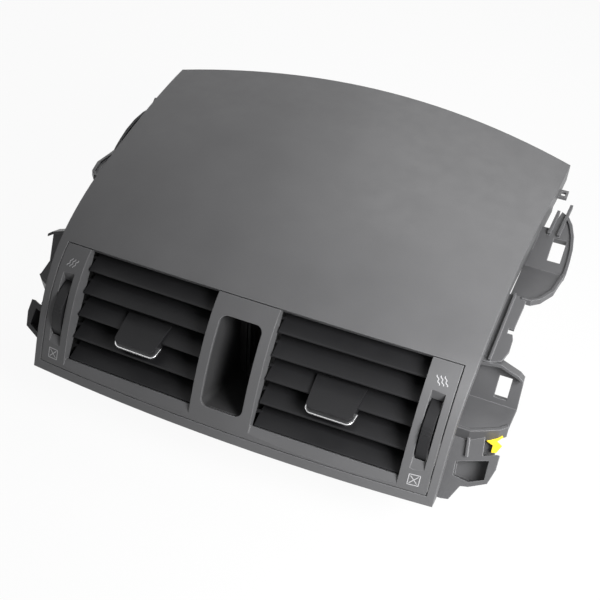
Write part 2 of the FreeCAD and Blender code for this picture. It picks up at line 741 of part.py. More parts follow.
# Knob
def knob_prism(front, rear, front_half, rear_half, q0, q1, corner):
    """A prism on the middle vane from its plan outline, between two heights."""
    nose = h_vane_noses()[H_VANE_COUNT // 2]

    def at(x, p):
        return on_axis(nose, p, q0, KNOB_OFFSET + x)

    c = corner
    s = c * 0.293
    edges = [
        Part.LineSegment(at(-rear_half, rear), at(-front_half, front + c)),
        Part.Arc(at(-front_half, front + c), at(-front_half + s, front + s), at(-front_half + c, front)),
        Part.LineSegment(at(-front_half + c, front), at(front_half - c, front)),
        Part.Arc(at(front_half - c, front), at(front_half - s, front + s), at(front_half, front + c)),
        Part.LineSegment(at(front_half, front + c), at(rear_half, rear)),
        Part.LineSegment(at(rear_half, rear), at(-rear_half, rear)),
    ]
    low = on_axis(nose, 0, q0, 0)
    high = on_axis(nose, 0, q1, 0)
    return Part.Face(Part.Wire([edge.toShape() for edge in edges])).extrude(high - low)


KNOB_LOW = -H_VANE_HALF_THICKNESS - KNOB_SLIDE_GAP - KNOB_SKIN
KNOB_HIGH = -KNOB_LOW


def knob():
    nose = h_vane_noses()[H_VANE_COUNT // 2]
    body = knob_prism(
        KNOB_FRONT, KNOB_REAR, KNOB_FRONT_HALF_WIDTH, KNOB_REAR_HALF_WIDTH, KNOB_LOW, KNOB_HIGH, KNOB_CORNER,
    )
    gap = H_VANE_HALF_THICKNESS + KNOB_SLIDE_GAP
    channel_front = -H_VANE_NOSE_RADIUS - KNOB_SLIDE_GAP
    channel = [(channel_front, -gap), (40, -gap), (40, gap), (channel_front, gap)]
    wire = closed_wire([on_axis(nose, p, q, -60) for p, q in channel])
    body = body.cut(slanted(wire, -60, 60))
    pivot = chord_point(nose, H_VANE_PIVOT, 0)
    reach = V_VANE_PIVOT_DEPTH - FORK_ARM + FORK_REACH
    shift = SLANT * KNOB_OFFSET
    inner = FORK_BAR_RADIUS + FORK_GAP
    start = pivot[0] + 2.9
    top = pivot[1] + FORK_RISE
    prongs = []
    for side in (-1, 1):
        a0 = KNOB_OFFSET + side * inner
        a1 = KNOB_OFFSET + side * (inner + FORK_WALL)
        prongs.append(box(min(a0, a1), max(a0, a1), start, reach + shift, top - FORK_HEIGHT, top))
    return placed(fuse([body] + prongs))


def knob_trim():
    t = TRIM_THICKNESS
    low = KNOB_LOW - 0.05
    outer = knob_prism(
        KNOB_FRONT - t, KNOB_FRONT + TRIM_LEG, KNOB_FRONT_HALF_WIDTH + t, KNOB_FRONT_HALF_WIDTH + t + 0.7,
        low, low + TRIM_HEIGHT, KNOB_CORNER + t,
    )
    body = knob_prism(
        KNOB_FRONT, KNOB_REAR, KNOB_FRONT_HALF_WIDTH, KNOB_REAR_HALF_WIDTH,
        low - 1, low + TRIM_HEIGHT + 1, KNOB_CORNER,
    )
    return placed(outer.cut(body))


# Vertical vanes
def v_vane_places():
    middle = (V_VANE_COUNT - 1) / 2
    return [KNOB_OFFSET + (j - middle) * V_VANE_PITCH for j in range(V_VANE_COUNT)]


V_VANE_BOTTOM = HOUSING_FLOOR + V_VANE_BOTTOM_GAP
V_VANE_TOP = HOUSING_CEILING - V_VANE_TOP_GAP


def fork_window():
    """The heights that the prongs' rear ends reach as the knob tilts, with a gap at each end."""
    pivot = chord_point(h_vane_noses()[H_VANE_COUNT // 2], H_VANE_PIVOT, 0)
    arm = V_VANE_PIVOT_DEPTH - FORK_ARM + FORK_REACH - pivot[0]
    down = math.radians(KNOB_TILT_DOWN)
    up = math.radians(KNOB_TILT_UP)
    low = pivot[1] - arm * math.sin(down) - (FORK_HEIGHT - FORK_RISE) * math.cos(down)
    high = pivot[1] + arm * math.sin(up) + FORK_RISE * math.cos(up)
    return low - FORK_WINDOW_GAP, high + FORK_WINDOW_GAP


def v_vane(a, driven):
    def at(x, d):
        return V(a + x, d, V_VANE_BOTTOM)

    front = V_VANE_PIVOT_DEPTH - V_VANE_FRONT
    middle = V_VANE_PIVOT_DEPTH
    rear = V_VANE_PIVOT_DEPTH + V_VANE_REAR
    half = V_VANE_THICKNESS / 2
    tip = half * 0.5
    edges = [
        Part.LineSegment(at(-tip, front), at(-half, middle)),
        Part.LineSegment(at(-half, middle), at(-tip, rear)),
        Part.Arc(at(-tip, rear), at(0, rear + tip), at(tip, rear)),
        Part.LineSegment(at(tip, rear), at(half, middle)),
        Part.LineSegment(at(half, middle), at(tip, front)),
        Part.Arc(at(tip, front), at(0, front - tip), at(-tip, front)),
    ]
    blade = Part.Face(Part.Wire([e.toShape() for e in edges])).extrude(V(0, 0, V_VANE_TOP - V_VANE_BOTTOM))
    low = HOUSING_FLOOR - HOUSING_WALL + 0.2
    high = HOUSING_CEILING + HOUSING_WALL - 0.2
    post = rod(V(a, V_VANE_PIVOT_DEPTH, low), V(0, 0, 1), high - low, PIVOT_RADIUS)
    crank = rod(
        V(a, V_VANE_PIVOT_DEPTH + V_VANE_TIE_ARM, HOUSING_FLOOR + 0.4),
        V(0, 0, 1),
        V_VANE_BOTTOM_GAP + 1,
        LINK_PIN_RADIUS,
    )
    parts = [blade, post, crank]
    if driven:
        bar_depth = V_VANE_PIVOT_DEPTH - FORK_ARM
        low_b, high_b = fork_window()
        window = box(a - 3, a + 3, bar_depth - 3, bar_depth + FORK_REACH + 1.6, low_b, high_b)
        parts[0] = blade.cut(window)
        for b in (low_b - 3, high_b):
            parts.append(box(a - half, a + half, bar_depth, front + 3, b, b + 3))
        parts.append(rod(V(a, bar_depth, low_b - 3), V(0, 0, 1), high_b - low_b + 6, FORK_BAR_RADIUS))
    return placed(fuse(parts))


def v_tie_bar():
    places = v_vane_places()
    depth = V_VANE_PIVOT_DEPTH + V_VANE_TIE_ARM
    b0 = HOUSING_FLOOR + 0.6
    half = V_TIE_WIDTH / 2
    bar = box(places[0] - 3, places[-1] + 3, depth - half, depth + half, b0, b0 + V_TIE_THICKNESS)
    for a in places:
        hole = rod(V(a, depth, b0 - 1), V(0, 0, 1), V_TIE_THICKNESS + 2, LINK_PIN_RADIUS + PIN_CLEARANCE)
        bar = bar.cut(hole)
    return placed(bar)


# Thumbwheel, flap and link
def crank_offset():
    angle = math.radians(CRANK_REST_ANGLE)
    return CRANK_RADIUS * math.sin(angle), CRANK_RADIUS * math.cos(angle)


WHEEL_AT = (WHEEL_CENTRE_DEPTH + WHEEL_SHIFT, WHEEL_CENTRE_HEIGHT)
FLAP_AT = (FLAP_PIVOT_DEPTH, 0.0)
AXIS_A = V(1, 0, 0)


def thumbwheel():
    d, b = WHEEL_AT
    a = WHEEL_INNER_FACE
    rim = rod(V(a, d, b), AXIS_A, WHEEL_WIDTH, WHEEL_RADIUS)
    rim = rim.cut(rod(V(a + WHEEL_WEB, d, b), AXIS_A, WHEEL_WIDTH, WHEEL_RADIUS - WHEEL_RIM))
    hub = rod(V(a, d, b), AXIS_A, WHEEL_WIDTH, WHEEL_AXLE_RADIUS + 3)
    dd, db = crank_offset()
    pin_start = LINK_INNER_FACE - 0.1
    pin = rod(V(pin_start, d + dd, b + db), AXIS_A, a - pin_start + 1, CRANK_PIN_RADIUS)
    wheel = fuse([rim, hub, pin])
    bore = rod(V(a - 1, d, b), AXIS_A, WHEEL_WIDTH + 2, WHEEL_AXLE_RADIUS + 0.1)
    return placed(wheel.cut(bore))


def damper_flap():
    d, b = FLAP_AT
    end = HOUSING_INSIDE - FLAP_END_GAP
    half = FLAP_THICKNESS / 2
    blade = box(-end, end, d - FLAP_HALF_CHORD, d + FLAP_HALF_CHORD, b - half, b + half)
    arm_inner = LINK_INNER_FACE + LINK_THICKNESS + 0.5
    shaft_end = HOUSING_OUTSIDE - 0.2
    shaft = rod(V(-shaft_end, d, b), AXIS_A, shaft_end + arm_inner + 2, FLAP_SHAFT_RADIUS)
    dd, db = crank_offset()
    arm = slot_plate([(d, b), (d + dd, b + db)], 3.4, arm_inner, arm_inner + 2)
    pin_start = LINK_INNER_FACE - 0.1
    pin = rod(V(pin_start, d + dd, b + db), AXIS_A, arm_inner - pin_start + 1, CRANK_PIN_RADIUS)
    return placed(fuse([blade, shaft, arm, pin]))


def damper_link():
    dd, db = crank_offset()
    ends = [(WHEEL_AT[0] + dd, WHEEL_AT[1] + db), (FLAP_AT[0] + dd, FLAP_AT[1] + db)]
    link = slot_plate(ends, LINK_HALF_WIDTH, LINK_INNER_FACE, LINK_INNER_FACE + LINK_THICKNESS)
    for d, b in ends:
        hole = rod(V(LINK_INNER_FACE - 1, d, b), AXIS_A, LINK_THICKNESS + 2, CRANK_PIN_RADIUS + PIN_CLEARANCE)
        link = link.cut(hole)
    return placed(link)


# Screws
def housing_screws():
    screws = []
    for b in SCREW_HEIGHTS:
        head_depth = TAB_DEPTH + TAB_THICKNESS
        shank = rod(V(SCREW_SIDE, head_depth, b), V(0, -1, 0), SCREW_LENGTH, SCREW_SHANK)
        head = rod(V(SCREW_SIDE, head_depth, b), V(0, 1, 0), SCREW_HEAD_HEIGHT, SCREW_HEAD)
        screws.append(placed(fuse([shank, head])))
    screws += [mirrored(screw) for screw in screws]
    return Part.makeCompound(screws)


# Side carriers
def tilted_plate(points, y, z, tilt, low, high):
    """A plate from (x, s) points: x out from the carrier's root, s up a leaning plane."""
    space = FreeCAD.Placement(V(0, y, z), FreeCAD.Rotation(V(1, 0, 0), tilt))
    wire = closed_wire([V(CARRIER_ROOT + px, ps, low) for px, ps in points])
    plate = Part.Face(wire).extrude(V(0, 0, high - low))
    return placed(plate, space)


def rectangle(x0, x1, s0, s1):
    return [(x0, s0), (x1, s0), (x1, s1), (x0, s1)]


def edge_strip(points, width):
    """The outline of a strip along a chain of points, widened towards -x and +s."""
    return points + [(x - 0.45 * width, s + width) for x, s in reversed(points)]


def front_ear():
    wall = CARRIER_PLATE
    plane = (EAR_FOOT[0], EAR_FOOT[1], EAR_TILT)
    outline = [(0, -2), (35.1, -2), (35.1, 0), (34.1, 24.4), (30.7, 27.0), (17.0, 31.5), (0, 29)]
    plate = tilted_plate(outline, *plane, -wall, 0)
    width, height = FRONT_WINDOW
    x0, s0 = FRONT_WINDOW_START
    window = tilted_plate(rectangle(x0, x0 + width, s0, s0 + height), *plane, -20, 20)
    top = [(34.1, 24.4), (30.7, 27.0), (17.0, 31.5), (0, 29)]
    hood = tilted_plate(top + [(x, s - 2.2) for x, s in reversed(top)], *plane, -wall, 8)
    sill = tilted_plate(rectangle(x0 - 1.6, x0 + width + 1.6, s0 - 2.8, s0), *plane, -4.5, 0)
    ledge = [(0, 1), (35.1, 1), (33.8, -16.4), (28.8, -21.0), (18.4, -26.1), (10.4, -29.5), (0, -29.5)]
    floor = tilted_plate(ledge, EAR_FOOT[0], EAR_FOOT[1], LEDGE_TILT, -wall, 0)
    front = ledge[2:]
    lip = tilted_plate(edge_strip(front, 2.2), EAR_FOOT[0], EAR_FOOT[1], LEDGE_TILT, -11.0, 1.0)
    return [plate.cut(window), hood, sill, floor, lip]


def front_box():
    wall = CARRIER_PLATE
    plane = (BOX_HEAD[0], BOX_HEAD[1], BOX_TILT)
    outline = [
        (0, -1), (33.8, -1), (28.7, -4.5), (22.0, -6.5), (20.7, -12),
        (22.9, -24.2), (31.5, -20.5), (33.6, -20.5), (33.8, -30.3), (30.9, -41.2),
        (19.5, -47.3), (14.2, -48.5), (9.2, -59.5), (3.9, -60.6), (0, -60.6),
    ]
    plate = tilted_plate(outline, *plane, -wall, 0)
    hole = [(6.7, -33.3), (27.7, -26.1), (28.2, -39.3), (18.5, -44.1), (7.6, -43.0)]
    outer = [(4.5, -31.0), (29.7, -22.6), (30.5, -40.6), (18.8, -46.6), (5.3, -45.4)]
    socket = tilted_plate(outer, *plane, -BOX_DEPTH, 0)
    inside = tilted_plate(hole, *plane, wall - BOX_DEPTH, 5)
    seat = [(16.0, -3), (28.0, -3), (30.0, -22.0), (16.0, -27)]
    backing = tilted_plate(seat, *plane, -CLIP_SEAT - wall, -CLIP_SEAT)
    side = tilted_plate(rectangle(15.0, 17.5, -27, -3), *plane, -CLIP_SEAT - wall, 0)
    rib = tilted_plate([(11.5, -28), (13.3, -28), (10.3, -9), (8.5, -9)], *plane, -wall, 2.4)
    return [plate, socket, backing, side, rib], inside


def side_rail():
    outline = [
        (0.5, 30), (8.3, 30), (16.5, 33.5), (19.4, 42.5), (19.2, 51.5), (17.9, 55.4), (14.1, 55.4),
        (14.1, 59.3), (17.8, 59.3), (17.9, 63.4), (19.2, 78.8), (19.2, 86), (0.5, 86),
    ]
    plane = (0, RAIL_START, RAIL_TILT)
    rail = tilted_plate(outline, *plane, -CARRIER_PLATE, 0)
    ridge = tilted_plate([(7.7, 31), (9.3, 31), (11.7, 86), (10.1, 86)], *plane, -CARRIER_PLATE, 3)
    return [rail, ridge]


def rear_ear():
    wall = CARRIER_PLATE
    plane = (REAR_EAR[0], REAR_EAR[1], REAR_EAR_TILT)
    side = [(38.5, -20), (39.1, -14.1), (39.0, -5.2), (38.4, 5.6), (36.3, 16.9), (32.7, 26.5), (27.1, 34.5)]
    outline = [(REAR_ROOT, -20)] + side + [(22.5, 37), (18.0, 20), (REAR_ROOT, 20)]
    plate = tilted_plate(outline, *plane, -wall, 0)
    width, height = REAR_WINDOW
    x0, s0 = REAR_WINDOW_START
    edge = WINDOW_FRAME
    window = tilted_plate(rectangle(x0, x0 + width, s0, s0 + height), *plane, -20, 20)
    around = rectangle(x0 - edge, x0 + width + edge, s0 - edge, s0 + height + edge)
    frame = tilted_plate(around, *plane, -6, -wall)
    ribs = []
    for x, length in ((23.8, 43.2), (16.7, 35.5)):
        lean = 0.1 * (length - 14)
        outline = [(x, 14), (x + 2.2, 14), (x + 2.2 + lean, length), (x + lean, length)]
        ribs.append(tilted_plate(outline, *plane, -wall, 3))
    rim = [(15.6, -0.1), (22.7, -0.2), (28.6, 7.1), (35.1, 25.2), (37.2, 46.2), (38.5, 56.0)]
    ledge = [(REAR_ROOT, -0.1)] + rim + [(38.5, 61.0), (REAR_ROOT, 61.0)]
    floor = tilted_plate(ledge, REAR_LEDGE[0], REAR_LEDGE[1], REAR_LEDGE_TILT, 0, wall)
    inner = [(x - 2.2, s + 1.2) for x, s in reversed(rim)]
    inner[-1] = (15.6, 2.1)
    inner[-2] = (21.5, 2.1)
    wall_rim = tilted_plate(rim + inner, REAR_LEDGE[0], REAR_LEDGE[1], REAR_LEDGE_TILT, 0, 4.2)
    flange = tilted_plate(side + [(x - 2.2, s - 0.8) for x, s in reversed(side)], *plane, -wall, 2)
    return [plate.fuse(frame).cut(window), floor, wall_rim, flange] + ribs


def side_carrier():
    wall_zone = layer(CARRIER_TOP_DEPTH, CARRIER_BOTTOM_DEPTH, 4, 300, SKIRT_WALL)
    core = layer(CARRIER_TOP_DEPTH - 1, CARRIER_BOTTOM_DEPTH + 1, 3, 301, SKIRT_WALL + CARRIER_WALL)
    wall = between(wall_zone.cut(core), 0, FAR)
    box_parts, inside = front_box()
    parts = [wall] + front_ear() + box_parts + side_rail() + rear_ear()
    return join(parts).cut(inside)


def dash_clip():
    outline = [
        (20.0, -5), (24.0, -4.0), (28.0, -4.2), (32.1, -8.0), (28.9, -12.0),
        (32.9, -14.0), (30.5, -19.5), (27.1, -20.4), (26.9, -15.5), (20.0, -13.0),
    ]
    return tilted_plate(outline, BOX_HEAD[0], BOX_HEAD[1], BOX_TILT, -CLIP_SEAT, -CLIP_SEAT + 5)


def build():
    nodes = {
        "top_panel": top_panel(),
        "vent_bezel": vent_bezel(),
        "centre_pocket": centre_pocket(),
        "housing_screws": housing_screws(),
    }
    carrier = side_carrier()
    nodes["dash_clip_right"] = dash_clip().cut(carrier)
    right = {
        "vent_housing": vent_housing(),
        "outlet_gasket": outlet_gasket(),
        "side_carrier": carrier,
        "tie_bar": h_tie_bar(),
        "knob": knob(),
        "knob_trim": knob_trim(),
        "vane_link_bar": v_tie_bar(),
        "thumbwheel": thumbwheel(),
        "damper_flap": damper_flap(),
        "damper_link": damper_link(),
    }
    for i, nose in enumerate(h_vane_noses()):
        right[f"horizontal_vane_{i + 1}"] = h_vane(nose)
    for j, a in enumerate(v_vane_places()):
        right[f"vertical_vane_{j + 1}"] = v_vane(a, j == V_VANE_COUNT // 2)
    for name, shape in right.items():
        nodes[f"{name}_right"] = shape
        nodes[f"{name}_left"] = mirrored(shape)
    return nodes


def frame_shift(nodes):
    """Puts the middle of the hood's outline at y = 0 and the lowest gasket corner at z = 0."""
    front = face_point(0, 0).y
    rear = max(surface_at(depth).value(0.5, HOOD_END).y for depth in (0, SKIRT_DEPTH))
    bottom = min(shape.BoundBox.ZMin for name, shape in nodes.items() if name.startswith("outlet_gasket"))
    return V(0, -(front + rear) / 2, -bottom)


def main():
    os.makedirs("parts", exist_ok=True)
    nodes = build()
    shift = frame_shift(nodes)
    for name, shape in nodes.items():
        shape.translate(shift)
        shape.exportStep(f"parts/{name}.step")
        print(name, "volume", round(shape.Volume), "solids", len(shape.Solids), "valid", shape.isValid())
    print("shift", shift)


main()
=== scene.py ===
import math

import bmesh
import bpy
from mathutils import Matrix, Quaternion, Vector
from mathutils.bvhtree import BVHTree


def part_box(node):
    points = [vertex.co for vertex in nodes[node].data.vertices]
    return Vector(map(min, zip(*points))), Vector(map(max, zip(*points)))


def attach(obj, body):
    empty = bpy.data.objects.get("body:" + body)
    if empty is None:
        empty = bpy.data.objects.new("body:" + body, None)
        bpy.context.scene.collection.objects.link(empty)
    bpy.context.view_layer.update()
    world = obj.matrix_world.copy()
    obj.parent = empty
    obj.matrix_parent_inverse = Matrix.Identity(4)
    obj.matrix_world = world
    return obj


# The dashboard air vent, dressed for its studio picture. Metres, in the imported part's frame.

CAMERA_PLACE = (0.2026, -0.5567, 0.5457)
CAMERA_TARGET = (0.0109, -0.0322, 0.0903)
CAMERA_ROLL = 4.13
CAMERA_LENS = 56.7
SENSOR_WIDTH = 36.0

KEY_PLACE = (0.48, -0.32, 0.42)
KEY_TARGET = (0.17, -0.10, 0.10)
KEY_SIZE = 0.30
KEY_POWER = 2.5
KEY_SPREAD = 110.0
TOP_PLACE = (0.10, 0.50, 0.75)
TOP_TARGET = (0.05, 0.10, 0.10)
TOP_SIZE = 0.6
TOP_POWER = 3.2
WORLD_LEVEL = 0.05
FLOOR_HALF = 4.0
FLOOR_WHITE = 0.94
FLOOR_COLOUR = (0.86, 0.86, 0.86)

# Cycles per metre of the patterns that all the materials of a kind share
TONE_SCALE = 22.0
POLISH_SCALE = 90.0
FOAM_SCALE = 700.0
INK_SCALE = 1500.0

# The part of a noise's values that is spread over a range, and how the patterns act
NOISE_LOW = 0.3
NOISE_HIGH = 0.7
POLISH_CHANGE = 0.05
FINE_GRAIN = 1.7
GRAIN_STRENGTH = 0.6
FOAM_ROUGHNESS = 0.95
FOAM_STRENGTH = 0.9
FOAM_DEPTH = 0.0005
INK_ROUGHNESS = 0.6

# An edge starts and is full where rounded and flat normals part by these cosines.
EDGE_START = 0.995
EDGE_FULL = 0.85
EDGE_SAMPLES = 6

FACE_TILT = 34.3
BEZEL_RAY_START = -1.0
PANEL_RAY_START = -0.4

PRINT_LIFT = 0.00006
PRINT_STROKE = 0.0006
PRINT_MIDDLE = 0.1396
PRINT_TOP = 0.1234
PRINT_LOW = 0.0643
PRINT_PROBE = 0.002
WAVE_COUNT = 3
WAVE_SPACING = 0.0026
WAVE_LENGTH = 0.0066
WAVE_HEIGHT = 0.00045
WAVE_LEAN = 0.45
WAVE_TURNS = 2
WAVE_STEPS = 24
BOX_SIDE = 0.0075
CROSS_SHARE = 0.72

GRIP_COUNT = 3
GRIP_PITCH = 0.0024
GRIP_WIDTH = 0.0058
GRIP_HEIGHT = 0.0003
GRIP_HALF_LENGTH = 0.0005
GRIP_INSET = 0.0037
GRIP_SINK = 0.00005
GRIP_FLAT_SHARE = 0.92
GRIP_STEPS = 8

HOOK_REACH = 0.003
SEAM_PROBE = 0.0016
SEAM_WALL = 0.006
SEAM_SKIP = 0.0003
SEAM_STEPS = 40
# The dark strip of painted shade behind the seams beside the bezel
SEAM_STRIP_INSET = 0.00008
SEAM_STRIP_WIDTH = 0.0028
SEAM_STRIP_THICKNESS = 0.00014
SEAM_STRIP_GAP = 0.00002

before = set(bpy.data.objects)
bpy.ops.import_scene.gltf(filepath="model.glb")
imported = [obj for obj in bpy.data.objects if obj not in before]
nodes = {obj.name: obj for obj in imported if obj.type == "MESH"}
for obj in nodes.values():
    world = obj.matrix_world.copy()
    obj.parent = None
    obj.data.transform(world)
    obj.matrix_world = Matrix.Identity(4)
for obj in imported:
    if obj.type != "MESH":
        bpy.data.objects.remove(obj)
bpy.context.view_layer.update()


# Materials
def new_material(name, colour, roughness, gloss=0.5):
    material = bpy.data.materials.new(name)
    material.use_nodes = True
    tree = material.node_tree
    shader = tree.nodes["Principled BSDF"]
    shader.inputs["Base Color"].default_value = (*colour, 1.0)
    shader.inputs["Roughness"].default_value = roughness
    shader.inputs["Specular IOR Level"].default_value = gloss
    return material, tree, shader


def place(tree, scale):
    """Texture coordinates in the part's own frame, in cycles per metre."""
    coordinates = tree.nodes.new("ShaderNodeTexCoord")
    mapping = tree.nodes.new("ShaderNodeMapping")
    mapping.inputs["Scale"].default_value = (scale, scale, scale)
    tree.links.new(coordinates.outputs["Object"], mapping.inputs["Vector"])
    return mapping.outputs["Vector"]


def noise(tree, scale, detail=4.0):
    texture = tree.nodes.new("ShaderNodeTexNoise")
    texture.inputs["Scale"].default_value = 1.0
    texture.inputs["Detail"].default_value = detail
    tree.links.new(place(tree, scale), texture.inputs["Vector"])
    return texture.outputs["Fac"]


def cells(tree, scale):
    texture = tree.nodes.new("ShaderNodeTexVoronoi")
    texture.feature = "SMOOTH_F1"
    texture.inputs["Scale"].default_value = 1.0
    tree.links.new(place(tree, scale), texture.inputs["Vector"])
    return texture.outputs["Distance"]


def spread(tree, factor, low, high):
    """Maps a factor's middle part to a range."""
    node = tree.nodes.new("ShaderNodeMapRange")
    node.inputs["From Min"].default_value = NOISE_LOW
    node.inputs["From Max"].default_value = NOISE_HIGH
    node.inputs["To Min"].default_value = low
    node.inputs["To Max"].default_value = high
    tree.links.new(factor, node.inputs["Value"])
    return node.outputs["Result"]


def blend_colour(tree, factor, colour_a, colour_b):
    node = tree.nodes.new("ShaderNodeMix")
    node.data_type = "RGBA"
    node.inputs["A"].default_value = (*colour_a, 1.0)
    node.inputs["B"].default_value = (*colour_b, 1.0)
    tree.links.new(factor, node.inputs["Factor"])
    return node


def shade(colour, factor):
    return tuple(min(1.0, value * factor) for value in colour)


def round_edges(tree, radius):
    """The normals of moulded edges, and how strongly a point lies on one."""
    bevel = tree.nodes.new("ShaderNodeBevel")
    bevel.samples = EDGE_SAMPLES
    bevel.inputs["Radius"].default_value = radius
    geometry = tree.nodes.new("ShaderNodeNewGeometry")
    dot = tree.nodes.new("ShaderNodeVectorMath")
    dot.operation = "DOT_PRODUCT"
    tree.links.new(bevel.outputs["Normal"], dot.inputs[0])
    tree.links.new(geometry.outputs["Normal"], dot.inputs[1])
    edge = tree.nodes.new("ShaderNodeMapRange")
    edge.inputs["From Min"].default_value = EDGE_START
    edge.inputs["From Max"].default_value = EDGE_FULL
    tree.links.new(dot.outputs["Value"], edge.inputs["Value"])
    return bevel.outputs["Normal"], edge.outputs["Result"]


def moulded_plastic(name, colour, roughness, grain, depth, edge_radius, edge_highlight_gain, gloss=0.5):
    """Grained moulded plastic, with rounded edges painted lighter as a highlight."""
    material, tree, shader = new_material(name, colour, roughness, gloss)
    normal, edge = round_edges(tree, edge_radius)
    tone = blend_colour(
        tree, spread(tree, noise(tree, TONE_SCALE), 0.0, 1.0), shade(colour, 0.94), shade(colour, 1.06)
    )
    # Painted highlight: the base colour is lighter on rounded edges, standing in for the light they
    # catch.
    painted_edge_highlight = blend_colour(tree, edge, colour, shade(colour, edge_highlight_gain))
    tree.links.new(tone.outputs["Result"], painted_edge_highlight.inputs["A"])
    tree.links.new(painted_edge_highlight.outputs["Result"], shader.inputs["Base Color"])
    smooth = roughness - POLISH_CHANGE
    rough = roughness + POLISH_CHANGE
    polish = spread(tree, noise(tree, POLISH_SCALE), smooth, rough)
    tree.links.new(polish, shader.inputs["Roughness"])
    pebbles = tree.nodes.new("ShaderNodeMath")
    pebbles.operation = "ADD"
    tree.links.new(cells(tree, grain), pebbles.inputs[0])
    tree.links.new(noise(tree, grain * FINE_GRAIN), pebbles.inputs[1])
    bump = tree.nodes.new("ShaderNodeBump")
    bump.inputs["Strength"].default_value = GRAIN_STRENGTH
    bump.inputs["Distance"].default_value = depth
    tree.links.new(pebbles.outputs["Value"], bump.inputs["Height"])
    tree.links.new(normal, bump.inputs["Normal"])
    tree.links.new(bump.outputs["Normal"], shader.inputs["Normal"])
    return material


def metal(name, colour, roughness, scratch, edge_radius):
    """Finely worn metal with rounded edges."""
    material, tree, shader = new_material(name, colour, roughness)
    shader.inputs["Metallic"].default_value = 1.0
    wear = spread(tree, noise(tree, scratch), roughness * 0.8, roughness * 1.25)
    tree.links.new(wear, shader.inputs["Roughness"])
    tree.links.new(round_edges(tree, edge_radius)[0], shader.inputs["Normal"])
    return material


def foam(name, colour):
    """Matt open-celled foam, and the matt dark strip of painted shade behind the seams."""
    material, tree, shader = new_material(name, colour, FOAM_ROUGHNESS)
    tone = blend_colour(tree, cells(tree, FOAM_SCALE), shade(colour, 0.4), shade(colour, 1.6))
    tree.links.new(tone.outputs["Result"], shader.inputs["Base Color"])
    bump = tree.nodes.new("ShaderNodeBump")
    bump.inputs["Strength"].default_value = FOAM_STRENGTH
    bump.inputs["Distance"].default_value = FOAM_DEPTH
    tree.links.new(cells(tree, FOAM_SCALE), bump.inputs["Height"])
    tree.links.new(bump.outputs["Normal"], shader.inputs["Normal"])
    return material


def ink(name, colour):
    """Matt printing ink, a little uneven."""
    material, tree, shader = new_material(name, colour, INK_ROUGHNESS)
    tone = blend_colour(
        tree, spread(tree, noise(tree, INK_SCALE), 0.0, 1.0), shade(colour, 0.85), shade(colour, 1.1)
    )
    tree.links.new(tone.outputs["Result"], shader.inputs["Base Color"])
    return material


PANEL = moulded_plastic(
    "panel_grey", (0.112, 0.112, 0.115), roughness=0.42, grain=1500.0, depth=0.00005,
    edge_radius=0.0009, edge_highlight_gain=1.6, gloss=0.28,
)
BEZEL = moulded_plastic(
    "bezel_grey", (0.104, 0.104, 0.107), roughness=0.40, grain=1700.0, depth=0.00003,
    edge_radius=0.0007, edge_highlight_gain=1.8, gloss=0.28,
)
CARRIER = moulded_plastic(
    "carrier_grey", (0.085, 0.085, 0.088), roughness=0.40, grain=900.0, depth=0.00003,
    edge_radius=0.0008, edge_highlight_gain=2.4, gloss=0.3,
)
POCKET = moulded_plastic(
    "pocket_black", (0.045, 0.045, 0.046), roughness=0.50, grain=1500.0, depth=0.00003,
    edge_radius=0.0005, edge_highlight_gain=1.4, gloss=0.3,
)
BLACK = moulded_plastic(
    "black_plastic", (0.014, 0.014, 0.015), roughness=0.46, grain=1500.0, depth=0.00003,
    edge_radius=0.0004, edge_highlight_gain=1.8, gloss=0.22,
)
INNER = moulded_plastic(
    "inner_black", (0.008, 0.008, 0.008), roughness=0.60, grain=1100.0, depth=0.00004,
    edge_radius=0.0005, edge_highlight_gain=1.3, gloss=0.2,
)
YELLOW = moulded_plastic(
    "clip_yellow", (0.85, 0.62, 0.02), roughness=0.38, grain=1200.0, depth=0.00002,
    edge_radius=0.0003, edge_highlight_gain=1.1,
)
CHROME = metal("chrome", (0.90, 0.90, 0.91), roughness=0.24, scratch=3000.0, edge_radius=0.0009)
STEEL = metal("steel", (0.58, 0.58, 0.60), roughness=0.32, scratch=2500.0, edge_radius=0.0002)
FOAM = foam("foam", (0.030, 0.030, 0.031))
# Painted shade: a near-black matt strip that stands in for the shade deep in the seams beside the
# bezel.
SEAM_SHADE = foam("seam_shade_black", (0.012, 0.012, 0.012))
INK = ink("print_grey", (0.42, 0.42, 0.43))

# A node takes the first line that its name starts with.
NODE_MATERIALS = [
    ("top_panel", PANEL),
    ("vent_bezel", BEZEL),
    ("centre_pocket", POCKET),
    ("housing_screws", STEEL),
    ("vent_housing", INNER),
    ("outlet_gasket", FOAM),
    ("side_carrier", CARRIER),
    ("dash_clip", YELLOW),
    ("knob_trim", CHROME),
    ("knob", BLACK),
    ("thumbwheel", BLACK),
    ("horizontal_vane", BLACK),
    ("vertical_vane", INNER),
    ("tie_bar", INNER),
    ("vane_link_bar", INNER),
    ("damper", INNER),
]


def material_of(node):
    for start, material in NODE_MATERIALS:
        if node.startswith(start):
            return material
    raise ValueError(f"no material for {node}")


for name, item in nodes.items():
    item.data.materials.clear()
    item.data.materials.append(material_of(name))


# The bezel and the hood, as trees that find places on their surfaces
bezel_mesh = bmesh.new()
bezel_mesh.from_mesh(nodes["vent_bezel"].data)
bezel_tree = BVHTree.FromBMesh(bezel_mesh)
panel_mesh = bmesh.new()
panel_mesh.from_mesh(nodes["top_panel"].data)
panel_tree = BVHTree.FromBMesh(panel_mesh)
REARWARD = Vector((0.0, 1.0, 0.0))


# Prints on the bezel's face
def on_face(x, z):
    """Where a line from the front meets the bezel's face, and the face's outward normal."""
    place_hit, normal, _, _ = bezel_tree.ray_cast(Vector((x, BEZEL_RAY_START, z)), REARWARD)
    if normal.y > 0:
        normal = -normal
    return place_hit, normal


